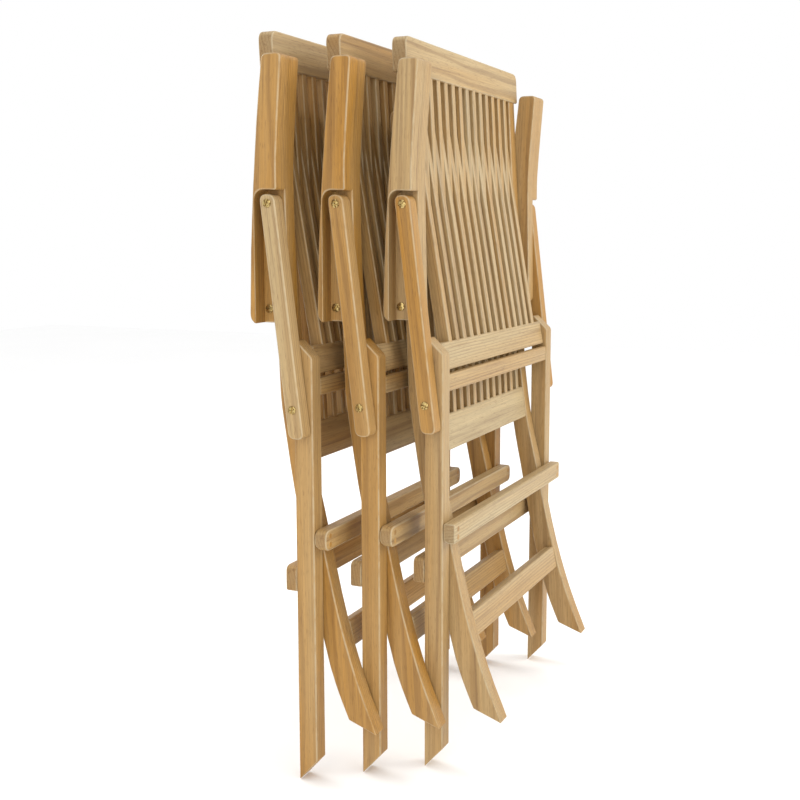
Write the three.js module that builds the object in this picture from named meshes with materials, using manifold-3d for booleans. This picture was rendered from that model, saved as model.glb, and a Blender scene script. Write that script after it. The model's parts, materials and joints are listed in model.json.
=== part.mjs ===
// Three identical folding garden armchairs in teak, folded flat and nested into one another.
// Millimetres, +Z up. Each chair faces -Y, so "forward" below is measured along -Y, and a point of a
// side outline is written [forward, up]. One chair is described about its own middle, with its feet at
// zero height, and is then placed three times.
import * as THREE from 'three';
import { mergeVertices } from 'three/addons/utils/BufferGeometryUtils.js';
import Module from 'manifold-3d';

const wasm = await Module();
wasm.setup();

// The row of nested chairs: each one stands a step to its left and a step forward of the last.
const chairCount = 3;
const stepAcross = 55.5;
const stepForward = 73;

// Layers across a chair, measured outward from its middle.
const stileInner = 196;
const stileOuter = 223;
const legInner = 224;
const legOuter = 250;
const linkInner = 250.4;
const armOuter = 274;
const fitGap = 0.3;

// Pivots, as [forward, up] with the chair folded.
const crossPivot = [12.5, 325.5];
const seatPivot = [10, 598];
const linkTop = [-25.6, 813.2];
const linkFoot = [8.5, 538];

// Heights and depths that several pieces share.
const footFront = 108;
const crestFoot = 994;
const crestTop = 1043;
const crestThickness = 22;
const battenRear = -75;
const slatDepth = 20;
const slatWidth = 12;
const slatPitch = 28.8;
const seatSlats = 14;
const backSlats = 13;
const boltRadius = 4;
const linkWidth = 23;

const paleTeak = 0xcdb08a;
const warmTeak = 0xb07a48;
const brass = 0xb08d4a;

// An outline whose corners are [forward, up, radius]; a corner with a radius becomes a short curve.
function rounded(corners, steps = 6) {
  return corners.flatMap(([forward, up, radius], index) => {
    if (!radius) return [[forward, up]];
    const here = new THREE.Vector2(forward, up);
    const [before, after] = [corners.at(index - 1), corners[(index + 1) % corners.length]]
      .map(([f, u]) => new THREE.Vector2(f, u).sub(here).setLength(radius).add(here));
    return new THREE.QuadraticBezierCurve(before, here, after).getPoints(steps).map((p) => [p.x, p.y]);
  });
}

// A smooth edge through a few points.
function edge(points, steps) {
  const curve = new THREE.SplineCurve(points.map(([f, u]) => new THREE.Vector2(f, u)));
  return curve.getPoints(steps).map((p) => [p.x, p.y]);
}

// A solid whose side outline is [forward, up], lying between two places across the chair.
function bar(outline, from, to) {
  const shape = new THREE.Shape(outline.map(([f, u]) => new THREE.Vector2(f, u)));
  const geometry = new THREE.ExtrudeGeometry(shape, { depth: to - from, bevelEnabled: false });
  return geometry.applyMatrix4(new THREE.Matrix4().set(0, 0, -1, to, -1, 0, 0, 0, 0, 1, 0, 0, 0, 0, 0, 1));
}

// A solid whose front outline is [across, up], from its rear face forward. It leans by a shear, so its
// ends stay level.
function board(outline, rear, thickness, lean = 0, leanFrom = 0) {
  const shape = new THREE.Shape(outline.map(([x, u]) => new THREE.Vector2(x, u)));
  const geometry = new THREE.ExtrudeGeometry(shape, { depth: thickness, bevelEnabled: false });
  const offset = lean * leanFrom - rear;
  return geometry.applyMatrix4(new THREE.Matrix4().set(1, 0, 0, 0, 0, -lean, -1, offset, 0, 1, 0, 0, 0, 0, 0, 1));
}

// A round bar across the chair, with twelve sides.
function rod([forward, up], radius, from, to) {
  const sides = 12;
  const outline = Array.from({ length: sides }, (_, i) => {
    const angle = (i / sides) * 2 * Math.PI;
    return [forward + radius * Math.cos(angle), up + radius * Math.sin(angle)];
  });
  return bar(outline, from, to);
}

function toSolid(geometry) {
  const bare = geometry.clone();
  bare.deleteAttribute('normal');
  bare.deleteAttribute('uv');
  const merged = mergeVertices(bare, 1e-4);
  const vertProperties = merged.attributes.position.array;
  const triVerts = new Uint32Array(merged.index.array);
  return new wasm.Manifold(new wasm.Mesh({ numProp: 3, vertProperties, triVerts }));
}

function toGeometry(solid) {
  const { vertProperties, triVerts } = solid.getMesh();
  const geometry = new THREE.BufferGeometry();
  geometry.setAttribute('position', new THREE.BufferAttribute(vertProperties, 3));
  geometry.setIndex(new THREE.BufferAttribute(triVerts, 1));
  return geometry.toNonIndexed();
}

function cut(geometry, ...tools) {
  return toGeometry(tools.reduce((solid, tool) => solid.subtract(toSolid(tool)), toSolid(geometry)));
}

function join(...geometries) {
  return toGeometry(geometries.map(toSolid).reduce((whole, solid) => whole.add(solid)));
}

// Both limits of a layer on one side of the chair: side 1 is the chair's left (+X), -1 its right.
function layer(side, inner, outer) {
  return side > 0 ? [inner, outer] : [-outer, -inner];
}

// A blind bolt hole, a little larger than the bolt.
function boltHole(side, centre, inner, outer) {
  return rod(centre, boltRadius + fitGap, ...layer(side, inner, outer));
}

function bolt(side, centre, inner, outer) {
  return rod(centre, boltRadius, ...layer(side, inner, outer));
}

// Places of the repeated slats, even about the chair's middle.
function slatPlaces(count) {
  return Array.from({ length: count }, (_, i) => (i - (count - 1) / 2) * slatPitch);
}

// Back: two long curved stiles that run down to the front feet.
function stile(side) {
  const front = edge([[footFront, 74], [76.5, 153], [48.4, 245], [19.6, 372], [0, 460], [-12, 545]], 16);
  const rear = edge([[-39, 540], [-22, 430], [-9, 365], [0, 317], [15, 245], [39, 152], [64.5, 89.4]], 16);
  const outline = [...front, [-40, crestFoot - fitGap], [-58.5, crestFoot - fitGap], ...rear];
  const hole = boltHole(side, crossPivot, stileInner + 2, stileOuter + 1);
  return cut(bar(outline, ...layer(side, stileInner, stileOuter)), hole);
}

function crestRail() {
  const half = 232;
  const outline = rounded([[-half, crestFoot], [half, crestFoot], [half, crestTop, 15], [-half, crestTop, 15]]);
  return board(outline, -59, crestThickness, -0.051, crestFoot);
}

// Slats of the back with the rail that carries their lower ends.
function backPanel() {
  const railTop = 508;
  const slat = [[-8.5, railTop - 3], [-39, crestFoot - fitGap], [-39 - slatDepth, crestFoot - fitGap],
    [-8.5 - slatDepth, railTop - 3]];
  const half = stileInner - fitGap;
  const rail = bar([[0, 455], [-8, railTop], [-30, railTop - 4], [-22, 451]], -half, half);
  const slats = slatPlaces(backSlats).map((x) => bar(slat, x - slatWidth / 2, x + slatWidth / 2));
  return join(rail, ...slats);
}

function frontStretcher() {
  const half = stileInner - fitGap;
  return bar([[53, 227], [61.5, 190], [44.5, 186], [36, 223]], -half, half);
}

// Legs: two straight bars that run from the rear feet up to the seat's front edge.
function leg(side) {
  const outline = rounded([[0, 0], [28, 31.6], [26, 607, 4], [-1.5, 633, 8]]);
  const crossHole = boltHole(side, crossPivot, legInner - 1, legOuter - 3);
  const seatHole = boltHole(side, seatPivot, legInner - 1, legOuter - 3);
  return cut(bar(outline, ...layer(side, legInner, legOuter)), crossHole, seatHole);
}

// The stretcher's upper rear edge is bevelled, clear of the seat rail as it turns down.
function topStretcher() {
  const half = legInner - fitGap;
  return bar([[7, 552], [25, 552], [25, 577], [15.5, 577], [7, 569]], -half, half);
}

// The front brace lies across the legs' front edges, with its lower rear edge bevelled where the stiles
// come to rest against it when the chair is open. Its ends are square on the foremost chair.
function frontBrace(squareEnds) {
  const [low, high] = [339, 368];
  const rear = 27.3;
  const bevel = bar([[rear - 1, low - 1], [rear + 9, low - 1], [rear - 1, low + 4]], -legOuter - 1, legOuter + 1);
  const radius = squareEnds ? 0 : 12;
  const corners = [[-legOuter, low, radius], [legOuter, low, radius], [legOuter, high, radius],
    [-legOuter, high, radius]];
  return cut(board(rounded(corners), rear, 18.2), bevel);
}

function rearBrace() {
  const [low, high] = [277, 313.5];
  const corners = [[-legOuter, low, 4], [legOuter, low, 4], [legOuter, high, 10], [-legOuter, high, 10]];
  return board(rounded(corners), -19, 17.7);
}

// Seat: slats from the front rail to a batten that hooks behind the folded back.
const seatLean = -0.174;
const seatFoot = 621.4;
const seatFront = (up) => 9.7 + seatLean * (up - 636);

function seatPanel() {
  const top = 940;
  const slat = [[seatFront(seatFoot), seatFoot], [seatFront(top), top], [seatFront(top) - slatDepth, top - 3.5],
    [seatFront(seatFoot) - slatDepth, seatFoot - 3.5]];
  const slats = slatPlaces(seatSlats).map((x) => bar(slat, x - slatWidth / 2, x + slatWidth / 2));
  const half = 207;
  const outline = rounded([[-half, 911, 12], [half, 911, 12], [half, 945, 12], [-half, 945, 12]]);
  return join(board(outline, battenRear, 16), ...slats);
}

function seatFrontRail() {
  const half = legInner - 2 * fitGap;
  const outline = rounded([[20.5, 582, 4], [13, 621], [-8, 617.5], [-1, 579, 6]]);
  const holes = [-1, 1].map((side) => boltHole(side, seatPivot, half - 22, half + 1));
  return cut(bar(outline, -half, half), ...holes);
}

// Arms: a wide flat bar with a pocket in its outer layer that the link folds into from the front.
function arm(side) {
  const rear = edge([[-55, 668], [-51.5, 764], [-42, 906], [-32.5, 996]], 10);
  const front = edge([[-3.2, 994], [-10, 900], [-12, 836], [-8, 668]], 10);
  const tip = [[-31.5, 1006, 8], [-2, 1006, 8]];
  const foot = [[-8, 653, 9], [-54.5, 653, 12]];
  const outline = rounded([...rear, ...tip, ...front, ...foot]);
  const pocket = rounded([[-46, 640], [20, 640], [20, 829], [-46, 832, 16]]);
  const body = bar(outline, ...layer(side, legInner, armOuter));
  return cut(body, bar(pocket, ...layer(side, legOuter, armOuter + 1)));
}

// Link: a straight bar from the arm down to the leg, round at both ends.
function armLink(side) {
  const [topForward, topUp] = linkTop;
  const [footForward, footUp] = linkFoot;
  const half = linkWidth / 2;
  const slope = (footForward - topForward) / (footUp - topUp);
  const at = (up, across) => [footForward + slope * (up - footUp) + across, up];
  const [low, high] = [footUp - 40, topUp + 12];
  const outline = [[...at(low, half), 10], [...at(high, half), 11], [...at(high, -half), 11], [...at(low, -half), 10]];
  return bar(rounded(outline), ...layer(side, linkInner, armOuter));
}

function pivotBolt(side) {
  return bolt(side, crossPivot, stileInner + 2 + fitGap, legOuter - 3 - fitGap);
}

function seatBolt(side) {
  const railEnd = legInner - 2 * fitGap;
  return bolt(side, seatPivot, railEnd - 22 + fitGap, legOuter - 3 - fitGap);
}

function piece(name, geometry, color) {
  const isBrass = color === brass;
  const material = new THREE.MeshStandardMaterial({
    color,
    roughness: isBrass ? 0.35 : 0.6,
    metalness: isBrass ? 1 : 0,
  });
  const mesh = new THREE.Mesh(geometry, material);
  mesh.name = name;
  return mesh;
}

// One whole chair, folded.
function chair(number) {
  const label = `chair_${number}`;
  const whole = new THREE.Group();
  const add = (name, geometry, color) => whole.add(piece(`${label}_${name}`, geometry, color));
  for (const [side, hand] of [[1, 'left'], [-1, 'right']]) {
    add(`back_stile_${hand}`, stile(side), warmTeak);
    add(`leg_${hand}`, leg(side), warmTeak);
    add(`arm_${hand}`, arm(side), warmTeak);
    add(`arm_link_${hand}`, armLink(side), paleTeak);
    add(`pivot_bolt_${hand}`, pivotBolt(side), brass);
    add(`seat_bolt_${hand}`, seatBolt(side), brass);
  }
  add('crest_rail', crestRail(), paleTeak);
  add('back_panel', backPanel(), warmTeak);
  add('front_stretcher', frontStretcher(), warmTeak);
  add('top_stretcher', topStretcher(), warmTeak);
  add('front_brace', frontBrace(number === chairCount), paleTeak);
  add('rear_brace', rearBrace(), paleTeak);
  add('seat_panel', seatPanel(), warmTeak);
  add('seat_front_rail', seatFrontRail(), paleTeak);
  return whole;
}

// The row's origin is on the floor, below the middle of its bounding box.
const group = new THREE.Group();
for (let number = 1; number <= chairCount; number += 1) {
  const place = number - (chairCount + 1) / 2;
  const whole = chair(number);
  whole.position.set(place * stepAcross, (footFront + battenRear) / 2 - place * stepForward, 0);
  group.add(whole);
}

export default group;
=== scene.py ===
import json
import math
import bpy
import numpy as np
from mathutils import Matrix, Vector
from mathutils.geometry import delaunay_2d_cdt


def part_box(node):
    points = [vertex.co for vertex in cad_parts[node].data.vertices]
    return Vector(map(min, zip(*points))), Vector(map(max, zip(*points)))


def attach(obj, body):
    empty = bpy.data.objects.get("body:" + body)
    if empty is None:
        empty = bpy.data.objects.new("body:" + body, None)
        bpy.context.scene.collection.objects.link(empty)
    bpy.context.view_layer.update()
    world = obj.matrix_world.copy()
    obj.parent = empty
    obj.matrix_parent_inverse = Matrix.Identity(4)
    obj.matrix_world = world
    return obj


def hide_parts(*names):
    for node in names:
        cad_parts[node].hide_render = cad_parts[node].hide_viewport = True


# Three folding teak armchairs, folded flat and nested into one another.
# Every wooden piece is drawn again round the CAD piece it stands for, with its edges eased over.
# A chair faces -Y. Lengths are metres.

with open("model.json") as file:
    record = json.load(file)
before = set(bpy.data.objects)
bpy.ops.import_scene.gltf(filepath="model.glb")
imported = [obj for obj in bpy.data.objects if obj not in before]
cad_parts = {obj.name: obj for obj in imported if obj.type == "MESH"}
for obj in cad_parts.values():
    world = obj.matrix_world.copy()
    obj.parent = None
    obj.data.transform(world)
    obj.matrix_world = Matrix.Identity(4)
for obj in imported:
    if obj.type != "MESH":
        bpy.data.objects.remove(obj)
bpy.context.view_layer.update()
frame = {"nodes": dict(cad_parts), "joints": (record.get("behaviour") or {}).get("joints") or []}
chairNumbers = (1, 2, 3)
frontChair = chairNumbers[-1]
sideNames = ("left", "right")
forward = np.array([0.0, -1.0, 0.0])
backward = -forward
upward = np.array([0.0, 0.0, 1.0])
toLeft = np.array([1.0, 0.0, 0.0])
print("frame loaded:", len(frame["nodes"]), "nodes")


def faceLoops(nodeName, facing, depth=None):
    # Outlines of the faces of a CAD piece that look one way, each as (n, 3) corners in order.
    # With a depth, only faces within that distance of the outermost one count.
    mesh = frame["nodes"][nodeName].data
    mesh.calc_loop_triangles()
    points = np.empty(len(mesh.vertices) * 3)
    mesh.vertices.foreach_get("co", points)
    points = points.reshape(-1, 3)
    corners = np.empty(len(mesh.loop_triangles) * 3, dtype=np.int32)
    mesh.loop_triangles.foreach_get("vertices", corners)
    triangles = points[corners.reshape(-1, 3)]
    normals = np.cross(triangles[:, 1] - triangles[:, 0], triangles[:, 2] - triangles[:, 0])
    size = np.linalg.norm(normals, axis=1)
    looking = (normals @ facing) > 0.9 * size
    reach = (triangles @ facing).min(axis=1)
    if depth is not None:
        looking &= reach > reach[looking].max() - depth
    chosen = triangles[looking & (size > 1e-12)]
    keys = np.round(chosen.reshape(-1, 3) * 1e5).astype(np.int64)
    _, place, index = np.unique(keys, axis=0, return_index=True, return_inverse=True)
    corner = chosen.reshape(-1, 3)[place]
    index = index.reshape(-1, 3)
    edges = np.concatenate([index[:, [0, 1]], index[:, [1, 2]], index[:, [2, 0]]])
    known = {(a, b) for a, b in edges.tolist()}
    following = {a: b for a, b in known if (b, a) not in known}
    loops = []
    while following:
        start = next(iter(following))
        path = [start]
        step = following.pop(start)
        while step != start and step in following:
            path.append(step)
            step = following.pop(step)
        loops.append(withoutStraights(corner[path]))
    return sorted(loops, key=outlineLength, reverse=True)


def outlineLength(loop):
    return np.linalg.norm(np.roll(loop, -1, axis=0) - loop, axis=1).sum()


def withoutStraights(loop):
    # Corners where the outline doesn't turn are left out.
    before, after, _, _ = edgeDirections(loop)
    return loop[np.linalg.norm(np.cross(before, after), axis=1) > 2e-3]


def edgeDirections(loop):
    # Unit directions of the edges before and after each corner, and those edges' lengths.
    ahead = np.roll(loop, -1, axis=0) - loop
    lengthAhead = np.linalg.norm(ahead, axis=1)
    directionAhead = ahead / np.maximum(lengthAhead, 1e-9)[:, None]
    return np.roll(directionAhead, 1, axis=0), directionAhead, np.roll(lengthAhead, 1), lengthAhead


def turnAngles(loop):
    before, after, _, _ = edgeDirections(loop)
    return np.arccos(np.clip((before * after).sum(axis=1), -1, 1))


def faceNormal(loop):
    # Normal of a flat outline: the sum of the cross products of its edges.
    centred = loop - loop.mean(axis=0)
    normal = np.cross(centred, np.roll(centred, -1, axis=0)).sum(axis=0)
    return normal / np.linalg.norm(normal)


def cutCorners(loop, cutLengths, steps):
    # Each corner with a cut length becomes an arc that starts and ends that far from it:
    # the rational quadratic curve with middle weight cos(half the turn), a true circle's arc.
    before, after, _, _ = edgeDirections(loop)
    weight = np.cos(turnAngles(loop) / 2)[:, None, None]
    t = np.linspace(0, 1, steps)[None, :, None]
    start = (loop - before * cutLengths[:, None])[:, None, :]
    end = (loop + after * cutLengths[:, None])[:, None, :]
    middle = loop[:, None, :]
    blend = 2 * t * (1 - t) * weight
    arcs = ((1 - t) ** 2 * start + blend * middle + t ** 2 * end) / ((1 - t) ** 2 + blend + t ** 2)
    points = arcs.reshape(-1, 3)
    distinct = np.linalg.norm(points - np.roll(points, 1, axis=0), axis=1) > 1e-6
    return points[distinct]


def softened(loop, radius):
    # Sharp corners get arcs of the radius, less where a corner is keener than square.
    # Then coarse curves are cut once more to run smoothly.
    turns = turnAngles(loop)
    _, _, lengthBefore, lengthAfter = edgeDirections(loop)
    room = 0.45 * np.minimum(lengthBefore, lengthAfter)
    sharp = turns > math.radians(30)
    slope = np.tan(np.clip(turns, 0.01, 3.1) / 2)
    cut = radius * np.minimum(slope, 1 / slope)
    arcs = cutCorners(loop, np.where(sharp, np.minimum(cut, room), 0), 7)
    turns = turnAngles(arcs)
    _, _, lengthBefore, lengthAfter = edgeDirections(arcs)
    coarse = (turns > math.radians(4)) & (turns < math.radians(30))
    room = 0.25 * np.minimum(lengthBefore, lengthAfter)
    return cutCorners(arcs, np.where(coarse, room, 0), 2)


easedEdge = {"rings": 4, "outlineRadius": 0.0034, "ease": 0.0024}
sharpEase = 1e-6        # a rim that stays sharp, where two shells meet


def easedSolid(loop, depth, ease=None, easeNear=None, easeFar=None):
    # A flat outline carried along a depth vector, its two rims rounded over.
    # At angle t through a rim the outline lies ease*(1 - sin t) inside itself and
    # ease*(1 - cos t) past the face. The normal there is sin t outward and cos t along the depth.
    # Gives points, normals, edge masks and faces.
    normal = faceNormal(loop)
    count = len(loop)
    before, after, lengthBefore, lengthAfter = edgeDirections(loop)
    outBefore = np.cross(before, normal)
    outAfter = np.cross(after, normal)
    middle = outBefore + outAfter
    middle /= np.linalg.norm(middle, axis=1)[:, None]
    offset = middle / np.maximum((middle * outAfter).sum(axis=1), 0.8)[:, None]
    ease = easedEdge["ease"] if ease is None else ease
    offset = untangled(loop, offset, ease)
    room = 0.45 * roomInside(loop, -offset, normal)
    room = np.minimum(room, np.minimum(np.roll(room, 1), np.roll(room, -1)))
    shade = outBefore * lengthBefore[:, None] + outAfter * lengthAfter[:, None]
    shade /= np.linalg.norm(shade, axis=1)[:, None]
    thickness = np.linalg.norm(depth)
    along = depth / thickness
    near = np.minimum(room, ease if easeNear is None else easeNear)
    far = np.minimum(room, ease if easeFar is None else easeFar)
    t = np.linspace(0, math.pi / 2, easedEdge["rings"] + 1)
    sine = np.concatenate([np.sin(t), np.sin(t)[::-1]])[:, None, None]
    cosine = np.concatenate([np.cos(t), np.cos(t)[::-1]])[:, None, None]
    isNear = (np.arange(2 * len(t)) < len(t))[:, None, None]
    amount = np.where(isNear, near[None, :, None], far[None, :, None])
    sinking = np.where(isNear, amount * (1 - cosine), thickness - amount * (1 - cosine))
    points = loop[None] - offset[None] * amount * (1 - sine) + along * sinking
    normals = sine * shade[None] + cosine * np.where(isNear, -along, along)
    masks = (2 * sine * cosine * (amount > 1e-4))[..., 0]
    ring = np.arange(count)
    nextOne = np.roll(ring, -1)
    rows = (np.arange(2 * len(t) - 1) * count)[:, None]
    quads = np.stack([rows + ring, rows + count + ring, rows + count + nextOne, rows + nextOne], axis=-1)
    faces = quads.reshape(-1, 4).tolist()
    total = 2 * len(t) * count
    points, normals, masks = points.reshape(-1, 3), normals.reshape(-1, 3), masks.ravel()
    for first, facing in ((0, -along), (total - count, along)):
        added, cap = filledRing(points[first:first + count], normal)
        corners = np.where(cap < count, cap + first, cap - count + len(points))
        faces += corners[:, ::1 if first == 0 else -1].tolist()
        points = np.concatenate([points, added])
        normals = np.concatenate([normals, np.repeat(facing[None], len(added), axis=0)])
        masks = np.concatenate([masks, np.zeros(len(added))])
    return points, normals, masks, faces


def filledRing(ring, normal):
    # Triangles inside a flat ring, and the points added where the ring touches itself.
    across = ring[np.argmax(np.linalg.norm(ring - ring[0], axis=1))] - ring[0]
    across /= np.linalg.norm(across)
    axes = np.stack([across, np.cross(normal, across)], axis=1)
    flat = [Vector(place) for place in ((ring - ring[0]) @ axes).tolist()]
    places, _, triangles, origins, _, _ = delaunay_2d_cdt(flat, [], [list(range(len(flat)))], 1, 1e-7)
    isNew = np.array([not known for known in origins])
    index = len(ring) + np.cumsum(isNew) - 1
    index[~isNew] = [known[0] for known in origins if known]
    added = np.array([place[:] for place in places]).reshape(-1, 2)[isNew] @ axes.T + ring[0]
    return added, index[np.array(triangles)]


def roomInside(loop, inward, normal):
    # How far each corner can move inward before it meets another edge of the outline:
    # the corner's ray p + s*d crosses the edge a + u*e where s = (a-p)x e / d x e and u = (a-p)x d / d x e.
    edges = np.roll(loop, -1, axis=0) - loop
    toward = loop[None] - loop[:, None]
    steepness = np.cross(inward[:, None], edges[None]) @ normal
    steepness = np.where(np.abs(steepness) < 1e-9, 1e-9, steepness)
    reach = (np.cross(toward, edges[None]) @ normal) / steepness
    share = (np.cross(toward, inward[:, None]) @ normal) / steepness
    meets = (reach > 2e-5) & (share > -0.001) & (share < 1.001)
    return np.where(meets, reach, 1.0).min(axis=1)


def untangled(loop, offset, ease):
    # Where the drawn-in outline would run backwards, its two ends are brought together.
    inner = loop - offset * ease
    for _ in range(8):
        forwards = ((np.roll(inner, -1, axis=0) - inner) * (np.roll(loop, -1, axis=0) - loop)).sum(axis=1)
        crossed = forwards < 0
        middle = (inner + np.roll(inner, -1, axis=0)) / 2
        inner = np.where(crossed[:, None], middle, inner)
        inner = np.where(np.roll(crossed, 1)[:, None], np.roll(middle, 1, axis=0), inner)
    return (loop - inner) / ease


def joinedFaces(faceLists, sizes):
    # Several shells' faces in one list: each shell's corners are numbered on from the shells before it.
    starts = np.cumsum([0] + sizes)
    return [[corner + start for corner in face] for faces, start in zip(faceLists, starts) for face in faces]


def buildPiece(name, shells, material, body, replaced=()):
    # One object from several closed shells. Each shell is (points, normals, masks, faces, figure),
    # and its figure says how the timber was cut: grain axis, side axis, seed and warmth.
    points = np.concatenate([shell[0] for shell in shells])
    normals = np.concatenate([shell[1] for shell in shells])
    masks = np.concatenate([shell[2] for shell in shells])
    sizes = [len(shell[0]) for shell in shells]
    faces = joinedFaces([shell[3] for shell in shells], sizes)
    mesh = bpy.data.meshes.new(name)
    mesh.from_pydata(points.tolist(), [], faces)
    mesh.polygons.foreach_set("use_smooth", np.ones(len(mesh.polygons), dtype=bool))
    figures = [shell[4] for shell in shells]
    storeVectors(mesh, "grainAxis", np.repeat([f["axis"] for f in figures], sizes, axis=0))
    storeVectors(mesh, "grainSide", np.repeat([f["side"] for f in figures], sizes, axis=0))
    storeNumbers(mesh, "seed", np.repeat([f["seed"] for f in figures], sizes))
    storeNumbers(mesh, "warmth", np.repeat([f["warmth"] for f in figures], sizes))
    storeNumbers(mesh, "edgeMask", masks)
    mesh.validate()
    mesh.normals_split_custom_set_from_vertices(normals.tolist())
    mesh.materials.append(material)
    piece = bpy.data.objects.new(name, mesh)
    bpy.context.scene.collection.objects.link(piece)
    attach(piece, body)
    if replaced:
        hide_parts(*replaced)
    return piece


def storeNumbers(mesh, name, values):
    layer = mesh.attributes.new(name, "FLOAT", "POINT")
    layer.data.foreach_set("value", np.asarray(values, dtype=np.float32))


def storeVectors(mesh, name, values):
    layer = mesh.attributes.new(name, "FLOAT_VECTOR", "POINT")
    layer.data.foreach_set("vector", np.asarray(values, dtype=np.float32).ravel())


def addNode(tree, kind, inputs=None, **settings):
    new = tree.nodes.new(kind)
    for key, value in settings.items():
        setattr(new, key, value)
    for key, value in (inputs or {}).items():
        socket = new.inputs[key]
        if isinstance(value, bpy.types.NodeSocket):
            tree.links.new(value, socket)
        else:
            socket.default_value = value
    return new


def doMath(tree, operation, first, second=0.0, third=0.0):
    return addNode(tree, "ShaderNodeMath", {0: first, 1: second, 2: third}, operation=operation).outputs[0]


def doVector(tree, operation, first, second=(0, 0, 0)):
    new = addNode(tree, "ShaderNodeVectorMath", {0: first, 1: second}, operation=operation)
    return new.outputs["Value" if operation in ("DOT_PRODUCT", "LENGTH") else "Vector"]


def mixColours(tree, amount, first, second, blend="MIX"):
    new = addNode(tree, "ShaderNodeMix", data_type="RGBA", blend_type=blend)
    for index, value in ((0, amount), (6, first), (7, second)):
        if isinstance(value, bpy.types.NodeSocket):
            tree.links.new(value, new.inputs[index])
        else:
            new.inputs[index].default_value = value
    return new.outputs[2]


def remap(tree, value, fromLow, fromHigh, toLow=0.0, toHigh=1.0):
    inputs = {0: value, 1: fromLow, 2: fromHigh, 3: toLow, 4: toHigh}
    return addNode(tree, "ShaderNodeMapRange", inputs, interpolation_type="SMOOTHSTEP").outputs[0]


def noiseOf(tree, place, scale, detail=2.0, roughness=0.5):
    inputs = {"Vector": place, "Scale": scale, "Detail": detail, "Roughness": roughness}
    return addNode(tree, "ShaderNodeTexNoise", inputs).outputs["Fac"]


def newGroup(name, inputs, outputs):
    group = bpy.data.node_groups.new(name, "ShaderNodeTree")
    for title, kind, value in inputs:
        socket = group.interface.new_socket(name=title, in_out="INPUT", socket_type=kind)
        if value is not None:
            socket.default_value = value
    for title, kind in outputs:
        group.interface.new_socket(name=title, in_out="OUTPUT", socket_type=kind)
    return group, group.nodes.new("NodeGroupInput").outputs, group.nodes.new("NodeGroupOutput").inputs


teak = {
    "pale": (0.47, 0.36, 0.195, 1),
    "warm": (0.41, 0.196, 0.026, 1),
    "dark": (0.13, 0.055, 0.014, 1),
    # edge colour: silvery wear and a painted highlight along the rounded edges
    "silverWearAndHighlight": (0.54, 0.46, 0.31, 1),
    "ringWidth": 0.0042,
    "roughness": 0.52,
    "drift": 1.1,           # how far the tone wanders between pale and warm along one board
    "ringShade": 0.4,
    "streakShade": 0.42,
    "poreShade": 0.3,
    "endShade": 0.34,       # end grain is darker
    # how strongly the rounded edges lighten, as wear and as a painted highlight
    "wearAndHighlight": 0.55,
}
boardStrides = (("Across", 0.83), ("Through", 1.37), ("Along", 2.9))    # how far a seed moves each coordinate


def timberPlaces():
    # Where a point lies in its board: across, through and along the grain, moved by the board's own seed.
    group, given, result = newGroup(
        "timberPlaces",
        [("Axis", "NodeSocketVector", None), ("Side", "NodeSocketVector", None),
         ("Seed", "NodeSocketFloat", 0.0)],
        [("Across", "NodeSocketFloat"), ("Through", "NodeSocketFloat"), ("Along", "NodeSocketFloat"),
         ("End", "NodeSocketFloat")])
    texture = group.nodes.new("ShaderNodeTexCoord").outputs
    through = doVector(group, "CROSS_PRODUCT", given["Axis"], given["Side"])
    place = texture["Object"]
    axes = {"Across": given["Side"], "Through": through, "Along": given["Axis"]}
    for title, stride in boardStrides:
        shift = doMath(group, "MULTIPLY", given["Seed"], stride)
        reach = doVector(group, "DOT_PRODUCT", place, axes[title])
        group.links.new(doMath(group, "ADD", reach, shift), result[title])
    facing = doMath(group, "ABSOLUTE", doVector(group, "DOT_PRODUCT", texture["Normal"], given["Axis"]))
    group.links.new(remap(group, facing, 0.75, 0.97), result["End"])
    return group


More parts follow.
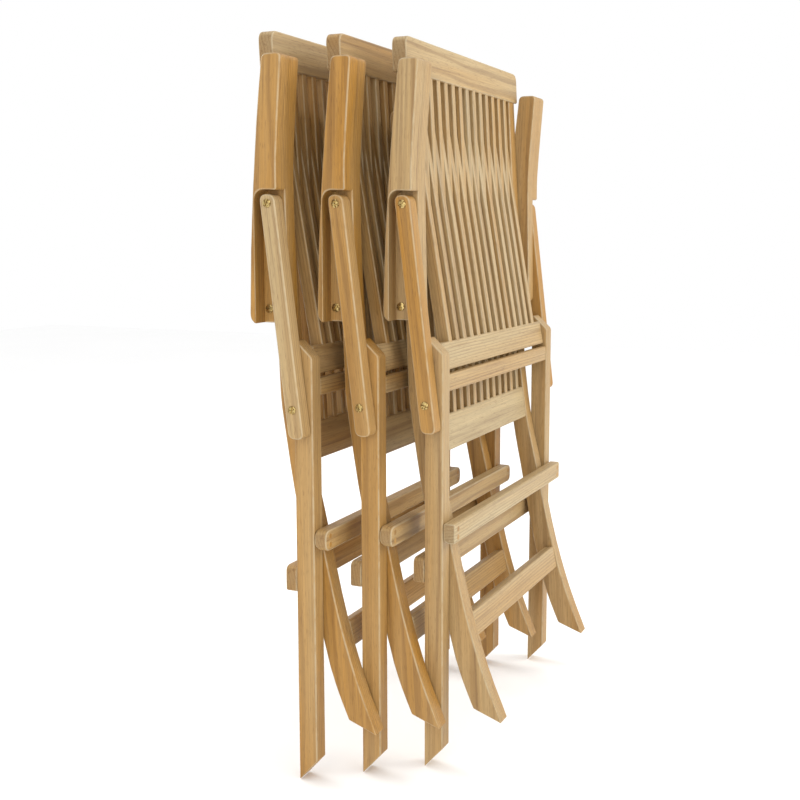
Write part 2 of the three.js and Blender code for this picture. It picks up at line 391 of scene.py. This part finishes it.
def timberFigure():
    # Growth rings, fibres, pores and slow drifts of tone for sawn timber.
    # Rings are a sine of the distance from a pith line beside the board, bent by slow noise.
    group, given, result = newGroup(
        "timberFigure",
        [("Across", "NodeSocketFloat", 0.0), ("Through", "NodeSocketFloat", 0.0),
         ("Along", "NodeSocketFloat", 0.0), ("Ring Width", "NodeSocketFloat", 0.004)],
        [("Rings", "NodeSocketFloat"), ("Fibres", "NodeSocketFloat"), ("Drift", "NodeSocketFloat"),
         ("Pores", "NodeSocketFloat"), ("Streaks", "NodeSocketFloat")])

    def stretched(across, along):
        inputs = {0: doMath(group, "MULTIPLY", given["Across"], across),
                  1: doMath(group, "MULTIPLY", given["Through"], across),
                  2: doMath(group, "MULTIPLY", given["Along"], along)}
        return addNode(group, "ShaderNodeCombineXYZ", inputs).outputs[0]

    bend = noiseOf(group, stretched(9, 1.6), 1.0, 2.0)
    waver = noiseOf(group, stretched(60, 5), 1.0, 1.0)
    acrossBent = doMath(group, "MULTIPLY_ADD", bend, 0.05, given["Across"])
    throughBent = doMath(group, "MULTIPLY_ADD", waver, 0.0035, given["Through"])
    flat = doMath(group, "MULTIPLY", acrossBent, 0.55)
    squares = [doMath(group, "MULTIPLY", side, side) for side in (flat, throughBent)]
    distance = doMath(group, "SQRT", doMath(group, "ADD", squares[0], squares[1]))
    turns = doMath(group, "DIVIDE", distance, given["Ring Width"])
    wave = doMath(group, "SINE", doMath(group, "MULTIPLY", turns, 2 * math.pi))
    ringPlace = addNode(group, "ShaderNodeCombineXYZ", {0: doMath(group, "MULTIPLY", turns, 0.37)}).outputs[0]
    strength = remap(group, noiseOf(group, ringPlace, 1.0), 0.3, 0.7, 0.25, 1.0)    # no two rings alike
    rings = doMath(group, "MULTIPLY", remap(group, wave, 0.1, 1.0), strength)
    group.links.new(rings, result["Rings"])
    group.links.new(noiseOf(group, stretched(700, 9), 1.0, 3.0, 0.65), result["Fibres"])
    group.links.new(noiseOf(group, stretched(22, 1.5), 1.0, 3.0), result["Drift"])
    pores = noiseOf(group, stretched(850, 70), 1.0, 1.0)
    group.links.new(remap(group, pores, 0.58, 0.72), result["Pores"])
    streaks = noiseOf(group, stretched(170, 3.0), 1.0, 2.0)
    group.links.new(remap(group, streaks, 0.55, 0.78), result["Streaks"])
    return group


def edgeWearAndHighlight():
    # Rubbed edges with a painted highlight: a piece's edge mask, broken up by noise. It lightens the rounded
    # edges, partly as real wear and partly as a painted highlight.
    group, given, result = newGroup(
        "edgeWearAndHighlight", [("Mask", "NodeSocketFloat", 0.0), ("Amount", "NodeSocketFloat", 0.5)],
        [("WearAndHighlight", "NodeSocketFloat")])
    place = group.nodes.new("ShaderNodeTexCoord").outputs["Object"]
    broken = remap(group, noiseOf(group, place, 60.0, 3.0), 0.3, 0.6, 0.4, 1.0)
    wornAndHighlit = doMath(group, "MULTIPLY", doMath(group, "MULTIPLY", given["Mask"], given["Amount"]), broken)
    group.links.new(wornAndHighlit, result["WearAndHighlight"])
    return group


timberGroups = {"places": timberPlaces(), "figure": timberFigure(), "wearAndHighlight": edgeWearAndHighlight()}


def attributeOf(tree, name, output):
    return addNode(tree, "ShaderNodeAttribute", attribute_name=name).outputs[output]


def teakMaterial(name, warmShare, roughness):
    # Oiled teak. Warm share is how far this stock leans from straw to orange brown.
    material = bpy.data.materials.new(name)
    material.use_nodes = True
    tree = material.node_tree
    shader = tree.nodes["Principled BSDF"]
    places = addNode(tree, "ShaderNodeGroup", node_tree=timberGroups["places"])
    layers = (("Axis", "grainAxis", "Vector"), ("Side", "grainSide", "Vector"), ("Seed", "seed", "Fac"))
    for title, layer, output in layers:
        tree.links.new(attributeOf(tree, layer, output), places.inputs[title])
    figure = addNode(tree, "ShaderNodeGroup", node_tree=timberGroups["figure"])
    figure.inputs["Ring Width"].default_value = teak["ringWidth"]
    for title in ("Across", "Through", "Along"):
        tree.links.new(places.outputs[title], figure.inputs[title])
    wearAndHighlight = addNode(tree, "ShaderNodeGroup", node_tree=timberGroups["wearAndHighlight"])
    tree.links.new(attributeOf(tree, "edgeMask", "Fac"), wearAndHighlight.inputs["Mask"])
    wearAndHighlight.inputs["Amount"].default_value = teak["wearAndHighlight"]

    warmth = doMath(tree, "ADD", attributeOf(tree, "warmth", "Fac"), warmShare)
    drifting = doMath(tree, "MULTIPLY_ADD", figure.outputs["Drift"], teak["drift"], -teak["drift"] / 2)
    lean = addNode(tree, "ShaderNodeClamp", {0: doMath(tree, "ADD", warmth, drifting)}).outputs[0]
    colour = mixColours(tree, lean, teak["pale"], teak["warm"])
    fibreTone = remap(tree, figure.outputs["Fibres"], 0.25, 0.75, 0.82, 1.12)
    greys = {0: fibreTone, 1: fibreTone, 2: fibreTone}
    fibreColour = addNode(tree, "ShaderNodeCombineColor", greys).outputs[0]
    colour = mixColours(tree, 1.0, colour, fibreColour, "MULTIPLY")
    darkenings = ((figure.outputs["Rings"], "ringShade"), (figure.outputs["Streaks"], "streakShade"),
                  (figure.outputs["Pores"], "poreShade"), (places.outputs["End"], "endShade"))
    for mask, shade in darkenings:
        colour = mixColours(tree, doMath(tree, "MULTIPLY", mask, teak[shade]), colour, teak["dark"])
    # Rounded edges lightened towards silver: partly real wear, partly a painted highlight.
    colour = mixColours(tree, wearAndHighlight.outputs["WearAndHighlight"], colour, teak["silverWearAndHighlight"])
    tree.links.new(colour, shader.inputs["Base Color"])

    rough = doMath(tree, "MULTIPLY_ADD", figure.outputs["Fibres"], 0.22, roughness - 0.11)
    rough = doMath(tree, "MULTIPLY_ADD", places.outputs["End"], 0.15, rough)
    tree.links.new(rough, shader.inputs["Roughness"])
    height = doMath(tree, "SUBTRACT", doMath(tree, "MULTIPLY", figure.outputs["Fibres"], 0.7),
                    doMath(tree, "MULTIPLY_ADD", figure.outputs["Pores"], 0.6,
                           doMath(tree, "MULTIPLY", figure.outputs["Rings"], 0.25)))
    bump = addNode(tree, "ShaderNodeBump", {"Height": height, "Strength": 0.35, "Distance": 0.0006})
    tree.links.new(bump.outputs["Normal"], shader.inputs["Normal"])
    shader.inputs["Specular IOR Level"].default_value = 0.42
    return material


timber = {"pale_teak": teakMaterial("paleTeak", 0.0, teak["roughness"]),
          "warm_teak": teakMaterial("warmTeak", 0.12, teak["roughness"] - 0.03)}

# How far each piece of a chair leans to orange brown, chair by chair from the back.
warmths = {
    "arm": (0.72, 0.62, 0.38), "arm_link": (0.3, 0.62, 0.8), "leg": (0.58, 0.6, 0.45),
    "back_stile": (0.7, 0.7, 0.42), "crest_rail": (0.3, 0.32, 0.22), "front_brace": (0.4, 0.35, 0.16),
    "rear_brace": (0.5, 0.45, 0.4), "front_stretcher": (0.4, 0.35, 0.2), "top_stretcher": (0.5, 0.45, 0.3),
    "seat_front_rail": (0.5, 0.45, 0.22), "seat_slat": (0.5, 0.45, 0.2), "seat_batten": (0.55, 0.5, 0.4),
    "back_slat": (0.5, 0.45, 0.26), "back_rail": (0.4, 0.35, 0.02), "plug": (0.7, 0.7, 0.6),
}
draws = np.random.default_rng(41)


def figureOf(kind, chair, axis, side):
    # A board's own draw from the pile: where it was cut, and a small drift of tone.
    axis = np.asarray(axis, dtype=float) / np.linalg.norm(axis)
    side = np.asarray(side, dtype=float)
    side = side - axis * (side @ axis)
    seed, drift = draws.random(2)
    return {"axis": axis, "side": side / np.linalg.norm(side), "seed": 0.2 + 3 * seed,
            "warmth": warmths[kind][chair - 1] + 0.16 * (drift - 0.5)}


joinery = {
    "tenon": 0.004,         # how far an end is let into the piece it meets
    "slatEase": 0.0022,
    "slatThickness": 0.02,
    "battenThickness": 0.016,
    "stileLean": 0.06,      # how far a stile's grain leans back over its height
    "armLean": 0.03,
    "layerOverlap": 0.001,  # how far an arm's outer layer sinks into the inner one
    "braceUndercut": 0.009,
    "plugRadius": 0.0042,
    "plugDepth": 0.002,
    "plugEase": 0.0004,
    "plugProud": 0.0003,    # how far a plug stands out of the brace
    "plugSpread": 0.006,    # half the height between an end's two plugs
    "plugInset": 0.0125,    # from the brace's end, over the middle of the leg
}


def shellOf(loop, depth, figure, radius=None, **eases):
    outline = softened(loop, easedEdge["outlineRadius"] if radius is None else radius)
    return (*easedSolid(outline, depth, **eases), figure)


def nodeName(chair, part):
    return f"chair_{chair}_{part}"


def depthAlong(name, direction):
    # The piece's whole size one way, as a vector.
    low, high = (np.array(corner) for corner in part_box(name))
    return direction * float(np.abs(direction) @ (high - low))


def crossBar(chair, part, kind, body, slotName, grain):
    # A piece whose side outline is the same all the way across.
    name = nodeName(chair, part)
    loop = faceLoops(name, -toLeft, depth=0.001)[0]
    shell = shellOf(loop, depthAlong(name, toLeft), figureOf(kind, chair, grain, forward))
    return buildPiece(f"{name}_wood", [shell], timber[slotName], f"{body}_{chair}", [name])


def facingBoard(chair, part, kind, body, slotName, undercut=0.0):
    # A board whose front outline is the same all the way through. Its grain runs across the chair.
    # An undercut rounds its lower rear edge further, up to that radius.
    name = nodeName(chair, part)
    loop = faceLoops(name, forward, depth=0.004)[0]
    low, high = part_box(name)
    thickness = (high.y - low.y) - np.ptp(loop[:, 1])
    outline = softened(loop, easedEdge["outlineRadius"])
    lowness = np.clip((low.z + undercut - outline[:, 2]) / max(undercut, 1e-6), 0, 1)
    rearEase = easedEdge["ease"] + lowness * max(undercut - easedEdge["ease"], 0)
    figure = figureOf(kind, chair, toLeft, upward)
    shell = (*easedSolid(outline, backward * thickness, easeFar=rearEase), figure)
    return buildPiece(f"{name}_wood", [shell], timber[slotName], f"{body}_{chair}", [name])


def lengthwise(loop):
    # The long direction of an outline: the first principal axis of its points.
    centred = loop - loop.mean(axis=0)
    _, _, axes = np.linalg.svd(centred, full_matrices=False)
    return axes[0] if axes[0][2] >= 0 else -axes[0]


def raisedTop(loop, amount):
    # Moves an outline's top corners up, so that its end is let into the piece above.
    top = loop[:, 2] > loop[:, 2].max() - 0.001
    return loop + upward * amount * top[:, None]


def loweredFoot(loop, direction, amount):
    foot = loop[:, 2] < loop[:, 2].min() + 0.006
    return loop - direction * amount * foot[:, None]


def stilesAndLegs(chair):
    for side in sideNames:
        for part, body in (("back_stile", "back"), ("leg", "legs")):
            name = nodeName(chair, f"{part}_{side}")
            outward = toLeft if side == "left" else -toLeft
            facing = outward if part == "leg" else -outward    # the face without a bolt hole
            loop = faceLoops(name, facing, depth=0.001)[0]
            if part == "back_stile":
                loop = raisedTop(loop, joinery["tenon"])
            straight = lengthwise(loop) if part == "leg" else [0, joinery["stileLean"], 1]
            figure = figureOf(part, chair, straight, forward)
            shell = shellOf(loop, -depthAlong(name, facing), figure)
            buildPiece(f"{name}_wood", [shell], timber["warm_teak"], f"{body}_{chair}", [name])


def armRests(chair):
    # An arm is two layers of one board: the inner one whole, the outer one with the link's pocket.
    for side in sideNames:
        name = nodeName(chair, f"arm_{side}")
        outward = toLeft if side == "left" else -toLeft
        whole = faceLoops(name, -outward, depth=0.001)[0]
        upper = faceLoops(name, outward, depth=0.001)[0]
        split = pocketFloor(name, outward)
        inner = abs(float((whole @ outward).max()))
        outer = abs(float((upper @ outward).max()))
        figure = figureOf("arm", chair, [0, -joinery["armLean"], 1], forward)
        outlineInner = softened(whole, easedEdge["outlineRadius"])
        shared = nearOutline(outlineInner, upper, outward)
        innerShell = easedSolid(outlineInner, outward * (split - inner),
                                easeFar=np.where(shared, sharpEase, easedEdge["ease"]))
        outlineOuter = softened(upper, easedEdge["outlineRadius"])
        outerShell = easedSolid(outlineOuter, -outward * (outer - split + joinery["layerOverlap"]),
                                easeFar=np.full(len(outlineOuter), sharpEase))
        shells = [(*innerShell, figure), (*outerShell, figure)]
        buildPiece(f"{name}_wood", shells, timber["warm_teak"], f"arms_{chair}", [name])


def pocketFloor(name, outward):
    # How far out the pocket's floor lies: the outward faces that aren't the outermost.
    points = np.array([vertex.co for vertex in frame["nodes"][name].data.vertices]) @ outward
    levels = np.unique(np.round(points, 4))
    return float(levels[1])


def nearOutline(points, loop, outward):
    # Which points lie on another outline, seen along the outward direction.
    flatten = np.array([1.0, 1.0, 1.0]) - np.abs(outward)
    starts = loop * flatten
    edges = np.roll(starts, -1, axis=0) - starts
    away = (points * flatten)[:, None, :] - starts[None]
    share = np.clip((away * edges).sum(axis=2) / np.maximum((edges * edges).sum(axis=1), 1e-12), 0, 1)
    distance = np.linalg.norm(away - share[..., None] * edges[None], axis=2).min(axis=1)
    return distance < 0.0012


def seat(chair):
    name = nodeName(chair, "seat_panel")
    fronts = [loop for loop in faceLoops(name, forward) if np.ptp(loop[:, 2]) > 0.2]
    shells = []
    for loop in fronts:
        direction = lengthwise(loop)
        loop = loweredFoot(loop, direction, joinery["tenon"])
        figure = figureOf("seat_slat", chair, direction, toLeft)
        depth = -faceNormal(loop) * joinery["slatThickness"]
        shells.append(shellOf(loop, depth, figure, ease=joinery["slatEase"]))
    buildPiece(f"chair_{chair}_seat_slats", shells, timber["warm_teak"], f"seat_{chair}", [name])
    batten = faceLoops(name, backward, depth=0.001)[0]
    figure = figureOf("seat_batten", chair, toLeft, upward)
    shell = shellOf(batten, forward * joinery["battenThickness"], figure)
    battenName = f"chair_{chair}_seat_batten"
    buildPiece(battenName, [shell], timber["warm_teak"], f"seat_{chair}", [name])
    crossBar(chair, "seat_front_rail", "seat_front_rail", "seat", "pale_teak", toLeft)


def back(chair):
    name = nodeName(chair, "back_panel")
    fronts = [loop for loop in faceLoops(name, forward) if np.ptp(loop[:, 2]) > 0.2]
    shells = []
    for loop in fronts:
        direction = lengthwise(loop)
        loop = raisedTop(loweredFoot(loop, direction, joinery["tenon"]), joinery["tenon"])
        figure = figureOf("back_slat", chair, direction, toLeft)
        shells.append(shellOf(loop, backward * joinery["slatThickness"], figure, ease=joinery["slatEase"]))
    buildPiece(f"chair_{chair}_back_slats", shells, timber["warm_teak"], f"back_{chair}", [name])
    railEnd = faceLoops(name, -toLeft, depth=0.001)[0]
    shell = shellOf(railEnd, depthAlong(name, toLeft), figureOf("back_rail", chair, toLeft, upward))
    buildPiece(f"chair_{chair}_back_rail", [shell], timber["pale_teak"], f"back_{chair}", [name])
    crossBar(chair, "front_stretcher", "front_stretcher", "back", "warm_teak", toLeft)
    facingBoard(chair, "crest_rail", "crest_rail", "back", "pale_teak")


def braces(chair):
    crossBar(chair, "top_stretcher", "top_stretcher", "legs", "warm_teak", toLeft)
    if chair == frontChair:
        crossBar(chair, "front_brace", "front_brace", "legs", "pale_teak", toLeft)    # its ends are square
    else:
        facingBoard(chair, "front_brace", "front_brace", "legs", "pale_teak", joinery["braceUndercut"])
    facingBoard(chair, "rear_brace", "rear_brace", "legs", "pale_teak")


def screwPlugs(chair):
    # Two round wooden plugs at each end of the front brace, over the screws into the leg.
    # A plug's outline is a circle: the centre plus its radius times the cosine and sine of the angle.
    low, high = (np.array(corner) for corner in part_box(nodeName(chair, "front_brace")))
    angle = np.linspace(0, 2 * math.pi, 24, endpoint=False)[:, None]
    circle = joinery["plugRadius"] * (np.cos(angle) * toLeft + np.sin(angle) * upward)
    shells = []
    for end in (low[0] + joinery["plugInset"], high[0] - joinery["plugInset"]):
        for rise in (-joinery["plugSpread"], joinery["plugSpread"]):
            centre = np.array([end, low[1] - joinery["plugProud"], (low[2] + high[2]) / 2 + rise])
            figure = figureOf("plug", chair, upward, toLeft)
            depth = backward * joinery["plugDepth"]
            shells.append((*easedSolid(centre + circle, depth, ease=joinery["plugEase"]), figure))
    buildPiece(f"chair_{chair}_screw_plugs", shells, timber["warm_teak"], f"legs_{chair}")


def links(chair):
    for side in sideNames:
        name = nodeName(chair, f"arm_link_{side}")
        outward = toLeft if side == "left" else -toLeft
        loop = faceLoops(name, outward, depth=0.001)[0]
        figure = figureOf("arm_link", chair, lengthwise(loop), forward)
        shell = shellOf(loop, -depthAlong(name, outward), figure)
        buildPiece(f"{name}_wood", [shell], timber["pale_teak"], f"links_{chair}", [name])


for chair in chairNumbers:
    stilesAndLegs(chair)
    back(chair)
    braces(chair)
    seat(chair)
    armRests(chair)
    links(chair)
    screwPlugs(chair)
    print("chair", chair, "timber done")


screw = {
    "headRadius": 0.0058,
    "headHeight": 0.0022,
    "slotWidth": 0.0017,
    "slotDepth": 0.0014,
    "domeWidth": 1.35,      # the dome's own radius, in head radii
    "skirt": 0.001,         # how far the rim goes into the wood
    "sunk": 0.0004,
    "columns": 23,
    "rows": 15,
    "brass": (0.56, 0.42, 0.17, 1),
    "tarnish": (0.2, 0.12, 0.04, 1),
}
pivotSpacing = 0.2773        # from a link's upper pivot to its lower one


def brassMaterial():
    material = bpy.data.materials.new("brassScrew")
    material.use_nodes = True
    tree = material.node_tree
    shader = tree.nodes["Principled BSDF"]
    place = tree.nodes.new("ShaderNodeTexCoord").outputs["Object"]
    stain = remap(tree, noiseOf(tree, place, 380.0, 3.0), 0.4, 0.62)
    tree.links.new(mixColours(tree, stain, screw["brass"], screw["tarnish"]), shader.inputs["Base Color"])
    tree.links.new(doMath(tree, "MULTIPLY_ADD", stain, 0.3, 0.24), shader.inputs["Roughness"])
    shader.inputs["Metallic"].default_value = 1.0
    scratches = noiseOf(tree, place, 1500.0, 2.0)
    bump = addNode(tree, "ShaderNodeBump", {"Height": scratches, "Strength": 0.2, "Distance": 0.0002})
    tree.links.new(bump.outputs["Normal"], shader.inputs["Normal"])
    return material


brass = brassMaterial()


def screwHead(centre, outward, turn):
    # A round head as a grid of columns across the disc: column x runs from -sqrt(R^2 - x^2) to
    # +sqrt(R^2 - x^2). Its height is a shallow dome, less the slot where x is inside the slot.
    radius = screw["headRadius"]
    half = screw["slotWidth"] / 2
    besideSlot = np.linspace(half / radius, 0.999, screw["columns"] // 2) * radius
    x = np.concatenate([-besideSlot[::-1], [-half * 0.98, 0, half * 0.98], besideSlot])
    v = np.concatenate([[-1, -1], np.linspace(-1, 1, screw["rows"]), [1, 1]])
    reach = np.sqrt(radius ** 2 - x ** 2)
    along = reach[:, None] * v[None]
    across = np.repeat(x[:, None], len(v), axis=1)
    domeRadius = screw["domeWidth"] * radius
    dome = screw["headHeight"] * np.sqrt(np.maximum(1 - (across ** 2 + along ** 2) / domeRadius ** 2, 0))
    height = dome - screw["slotDepth"] * (np.abs(across) < half)
    height[:, [0, -1]] = -screw["skirt"]
    sideways = np.cross(outward, upward)
    first = math.cos(turn) * sideways + math.sin(turn) * upward
    second = np.cross(outward, first)
    points = centre + across[..., None] * first + along[..., None] * second + height[..., None] * outward
    columns, rows = across.shape
    index = np.arange(columns * rows).reshape(columns, rows)
    quads = np.stack([index[:-1, :-1], index[1:, :-1], index[1:, 1:], index[:-1, 1:]], axis=-1).reshape(-1, 4)
    bottom = np.concatenate([index[:, 0], index[::-1, -1]]).tolist()
    return points.reshape(-1, 3), quads.tolist() + [bottom[::-1]]


def screwPiece(name, heads, body):
    points = np.concatenate([head[0] for head in heads])
    faces = joinedFaces([head[1] for head in heads], [len(head[0]) for head in heads])
    mesh = bpy.data.meshes.new(name)
    mesh.from_pydata(points.tolist(), [], faces)
    mesh.validate()
    mesh.polygons.foreach_set("use_smooth", np.ones(len(mesh.polygons), dtype=bool))
    mesh.set_sharp_from_angle(angle=math.radians(40))
    mesh.materials.append(brass)
    piece = bpy.data.objects.new(name, mesh)
    bpy.context.scene.collection.objects.link(piece)
    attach(piece, body)
    return piece


joints = {joint["name"]: joint for joint in frame["joints"]}


def pivotScrews(chair):
    for side in sideNames:
        outward = toLeft if side == "left" else -toLeft
        link = nodeName(chair, f"arm_link_{side}")
        loop = faceLoops(link, outward, depth=0.001)[0]
        face = float((loop @ outward).max())
        top = np.array(joints[f"links_turn_{chair}"]["pos_m"])
        down = loop.mean(axis=0) - top
        down[0] = 0
        foot = top + down / np.linalg.norm(down) * pivotSpacing
        turns = draws.random(3) * math.pi
        heads = []
        for pivot, turn in ((top, turns[0]), (foot, turns[1])):
            centre = pivot * (1 - np.abs(outward)) + outward * (face - screw["sunk"])
            heads.append(screwHead(centre, outward, turn))
        screwPiece(f"chair_{chair}_link_screws_{side}", heads, f"links_{chair}")
        arm = nodeName(chair, f"arm_{side}")
        pivot = np.array(joints[f"arms_rise_{chair}"]["pos_m"])
        centre = pivot * (1 - np.abs(outward)) + outward * pocketFloor(arm, outward)
        screwPiece(f"chair_{chair}_arm_screw_{side}", [screwHead(centre, outward, turns[2])], f"arms_{chair}")


for chair in chairNumbers:
    pivotScrews(chair)
    for part in ("pivot_bolt", "seat_bolt"):
        for side in sideNames:
            bolt = frame["nodes"][nodeName(chair, f"{part}_{side}")]
            bolt.data.materials.clear()
            bolt.data.materials.append(brass)
print("brass done")


studio = {
    "floorSize": 12.0,
    "floorColour": (0.97, 0.97, 0.97, 1),
    "floorDrift": 0.992,
    "background": (1.0, 1.0, 1.0, 1),
    "backgroundStrength": 1.0,
    "key": {"place": (1.4, -3.2, 2.6), "size": 1.8, "power": 74, "colour": (1.0, 0.98, 0.94)},
    "fill": {"place": (-3.0, -0.4, 1.5), "size": 2.4, "power": 22, "colour": (1.0, 0.97, 0.92)},
    "back": {"place": (0.8, 3.0, 2.2), "size": 2.0, "power": 46, "colour": (1.0, 1.0, 1.0)},
    "aim": (0.0, 0.0, 0.5),
}
view = {"place": (-1.6815, -0.6971, 0.777), "yaw": 0.429, "pitch": -0.1438, "lens": 52.57, "sensor": 36.0}


def floorPiece():
    # One square face, flat at zero height.
    half = studio["floorSize"] / 2
    mesh = bpy.data.meshes.new("floor")
    corners = [(-half, -half, 0), (half, -half, 0), (half, half, 0), (-half, half, 0)]
    mesh.from_pydata(corners, [], [(0, 1, 2, 3)])
    material = bpy.data.materials.new("paleFloor")
    material.use_nodes = True
    tree = material.node_tree
    place = tree.nodes.new("ShaderNodeTexCoord").outputs["Object"]
    tone = remap(tree, noiseOf(tree, place, 1.5, 2.0), 0.3, 0.7)
    darker = tuple(studio["floorDrift"] * value for value in studio["floorColour"][:3]) + (1,)
    shader = tree.nodes["Principled BSDF"]
    tree.links.new(mixColours(tree, tone, darker, studio["floorColour"]), shader.inputs["Base Color"])
    shader.inputs["Roughness"].default_value = 0.9
    mesh.materials.append(material)
    floor = bpy.data.objects.new("floor", mesh)
    bpy.context.scene.collection.objects.link(floor)


def aimed(thing, place, target):
    thing.location = place
    thing.rotation_euler = (Vector(target) - Vector(place)).to_track_quat("-Z", "Y").to_euler()


def softLight(name):
    light = bpy.data.lights.new(name, "AREA")
    light.size = studio[name]["size"]
    light.energy = studio[name]["power"]
    light.color = studio[name]["colour"]
    lamp = bpy.data.objects.new(name, light)
    bpy.context.scene.collection.objects.link(lamp)
    aimed(lamp, studio[name]["place"], studio["aim"])


def cameraInPlace():
    lens = bpy.data.cameras.new("camera")
    lens.lens = view["lens"]
    lens.sensor_width = view["sensor"]
    camera = bpy.data.objects.new("camera", lens)
    bpy.context.scene.collection.objects.link(camera)
    level = math.cos(view["pitch"])
    sight = Vector((math.cos(view["yaw"]) * level, math.sin(view["yaw"]) * level, math.sin(view["pitch"])))
    aimed(camera, view["place"], Vector(view["place"]) + sight)
    bpy.context.scene.camera = camera


floorPiece()
for name in ("key", "fill", "back"):
    softLight(name)
cameraInPlace()
world = bpy.data.worlds.new("studio")
bpy.context.scene.world = world
world.use_nodes = True
world.node_tree.nodes["Background"].inputs["Color"].default_value = studio["background"]
world.node_tree.nodes["Background"].inputs["Strength"].default_value = studio["backgroundStrength"]
bpy.context.scene.view_settings.view_transform = "Standard"
print("studio done")
